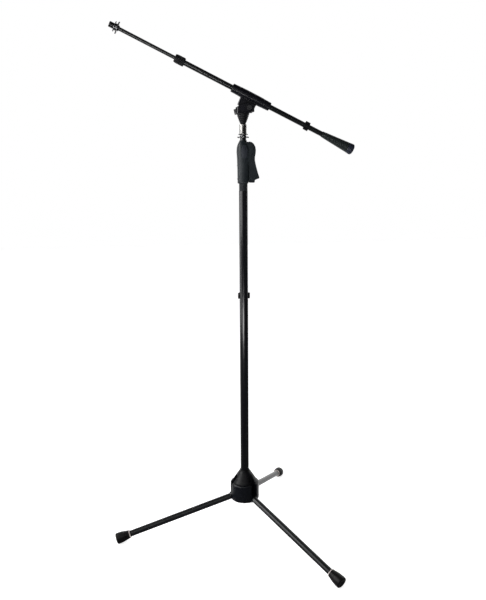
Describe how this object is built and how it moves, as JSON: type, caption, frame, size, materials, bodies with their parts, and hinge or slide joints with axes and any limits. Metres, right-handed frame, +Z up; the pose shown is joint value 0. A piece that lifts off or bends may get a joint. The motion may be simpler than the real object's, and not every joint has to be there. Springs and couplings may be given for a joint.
{
  "type": "boom microphone stand",
  "caption": "Floor stand with folding tripod legs, a telescopic pole with a one-hand clutch, and a tilting, sliding boom with threaded end and counterweight.",
  "frame": {"origin": "on the pole axis, at floor level, where the feet stand", "axes": "+Z up the pole; the boom tilts in the XZ plane with its threaded microphone end towards -X and its counterweight towards +X; one leg points along -X"},
  "size_m": [0.7326, 0.705, 1.4985],
  "materials": {
    "hub_black": "gloss",
    "black_plastic": "satin",
    "zinc_steel": "satin",
    "black_oxide": "satin",
    "black_chrome": "polished",
    "nylon_black": "matte",
    "black_steel": "gloss",
    "clutch_black": "satin",
    "grip_rubber": "matte",
    "nickel": "polished",
    "head_black": "satin",
    "boom_black": "gloss",
    "leg_black": "gloss",
    "weight_rubber": "satin",
    "weight_cap": "satin",
    "foot_rubber": "matte",
    "ring_pale": "satin"
  },
  "bodies": {
    "base": {"hub_housing": "hub_black", "hub_top_cap": "black_plastic", "hub_detent_disc": "zinc_steel", "detent_wave_spring": "zinc_steel", "hub_centre_bolt": "black_oxide", "pole_foot_plug": "zinc_steel", "leg_pivot_pins": "black_oxide", "leg_friction_washers": "nylon_black", "pole_tube": "black_steel", "pole_cable_clip": "black_plastic", "clutch_front_shell": "clutch_black", "clutch_rear_shell": "clutch_black", "clutch_grip_inlay": "grip_rubber", "clutch_screws": "black_oxide", "clutch_spigot": "nylon_black", "clutch_top_bush": "nylon_black", "clutch_plate_spring": "zinc_steel", "clutch_lever_pin": "black_oxide"},
    "clutch_trigger": {"clutch_lever": "clutch_black"},
    "clutch_plate": {"clutch_lock_plate": "zinc_steel"},
    "mast": {"mast_tube": "black_steel", "mast_guide_bush": "nylon_black", "mast_top_stud": "nickel", "swivel_socket": "nickel", "swivel_spindle": "zinc_steel"},
    "lower_nut": {"mast_star_nut": "black_chrome"},
    "swivel": {"swivel_cone": "black_plastic", "tilt_yoke": "head_black", "tilt_friction_washers": "nylon_black", "tilt_bolt": "black_oxide"},
    "handle": {"tilt_handle": "black_plastic"},
    "clamp": {"boom_clamp": "head_black", "boom_clamp_bushes": "nylon_black"},
    "boom": {"boom_outer_tube": "boom_black", "boom_collet": "nylon_black", "boom_cable_clip": "black_plastic", "counterweight_core": "zinc_steel", "counterweight_cover": "weight_rubber", "counterweight_end_cap": "weight_cap"},
    "twist": {"boom_twist_grip": "black_plastic"},
    "extension": {"boom_inner_tube": "boom_black", "boom_inner_bush": "nylon_black", "mic_thread_stud": "black_chrome"},
    "upper_nut": {"mic_star_nut": "black_chrome"},
    "leg_left": {"leg_knuckle_left": "hub_black", "leg_tube_left": "leg_black", "foot_left": "foot_rubber", "foot_ring_left": "ring_pale"},
    "leg_right": {"leg_knuckle_right": "hub_black", "leg_tube_right": "leg_black", "foot_right": "foot_rubber", "foot_ring_right": "ring_pale"},
    "leg_rear": {"leg_knuckle_rear": "hub_black", "leg_tube_rear": "leg_black", "foot_rear": "foot_rubber", "foot_ring_rear": "ring_pale"}
  },
  "joints": [
    {"name": "leg_left_fold", "type": "hinge", "parent": "base", "child": "leg_left", "pos_m": [-0.033, 0, 0.1216], "axis": [0, 1, 0], "range_deg": [0, 105]},
    {"name": "leg_right_fold", "type": "hinge", "parent": "base", "child": "leg_right", "pos_m": [0.0165, -0.02858, 0.1216], "axis": [-0.866, -0.5, 0], "range_deg": [0, 105]},
    {"name": "leg_rear_fold", "type": "hinge", "parent": "base", "child": "leg_rear", "pos_m": [0.0165, 0.02858, 0.1216], "axis": [0.866, -0.5, 0], "range_deg": [0, 105]},
    {"name": "trigger_squeeze", "type": "hinge", "parent": "base", "child": "clutch_trigger", "pos_m": [0.02, 0, 1.168], "axis": [0, 1, 0], "range_deg": [0, 5], "stiffness_Nm_per_rad": 6, "springref_deg": -11.46},
    {"name": "lock_plate_tip", "type": "hinge", "parent": "base", "child": "clutch_plate", "pos_m": [-0.012, 0, 1.15], "axis": [0, 1, 0], "range_deg": [0, 3]},
    {"name": "mast_slide", "type": "slide", "parent": "base", "child": "mast", "axis": [0, 0, 1], "range_m": [0, 0.58]},
    {"name": "lower_nut_spin", "type": "hinge", "parent": "mast", "child": "lower_nut", "pos_m": [0, 0, 1.207], "axis": [0, 0, 1], "continuous": true},
    {"name": "head_swivel", "type": "hinge", "parent": "mast", "child": "swivel", "pos_m": [0, 0, 1.25], "axis": [0, 0, 1], "continuous": true},
    {"name": "tilt_handle_turn", "type": "hinge", "parent": "swivel", "child": "handle", "pos_m": [0.014, 0.025, 1.282], "axis": [0, 1, 0], "range_deg": [-60, 120]},
    {"name": "boom_tilt", "type": "hinge", "parent": "swivel", "child": "clamp", "pos_m": [0.014, 0, 1.282], "axis": [0, 1, 0], "range_deg": [-45, 58]},
    {"name": "boom_slide", "type": "slide", "parent": "clamp", "child": "boom", "axis": [-0.9049, 0, 0.4256], "range_m": [-0.14, 0.105]},
    {"name": "twist_grip_turn", "type": "hinge", "parent": "boom", "child": "twist", "pos_m": [-0.17365, 0, 1.40463], "axis": [-0.9049, 0, 0.4256], "range_deg": [0, 120]},
    {"name": "extension_slide", "type": "slide", "parent": "boom", "child": "extension", "axis": [-0.9049, 0, 0.4256], "range_m": [-0.13, 0.12]},
    {"name": "upper_nut_spin", "type": "hinge", "parent": "extension", "child": "upper_nut", "pos_m": [-0.34015, 0, 1.48294], "axis": [-0.9049, 0, 0.4256], "continuous": true}
  ],
  "couplings": [
    {"joint": "lock_plate_tip", "follows": "trigger_squeeze", "ratio": 0.6}
  ]
}
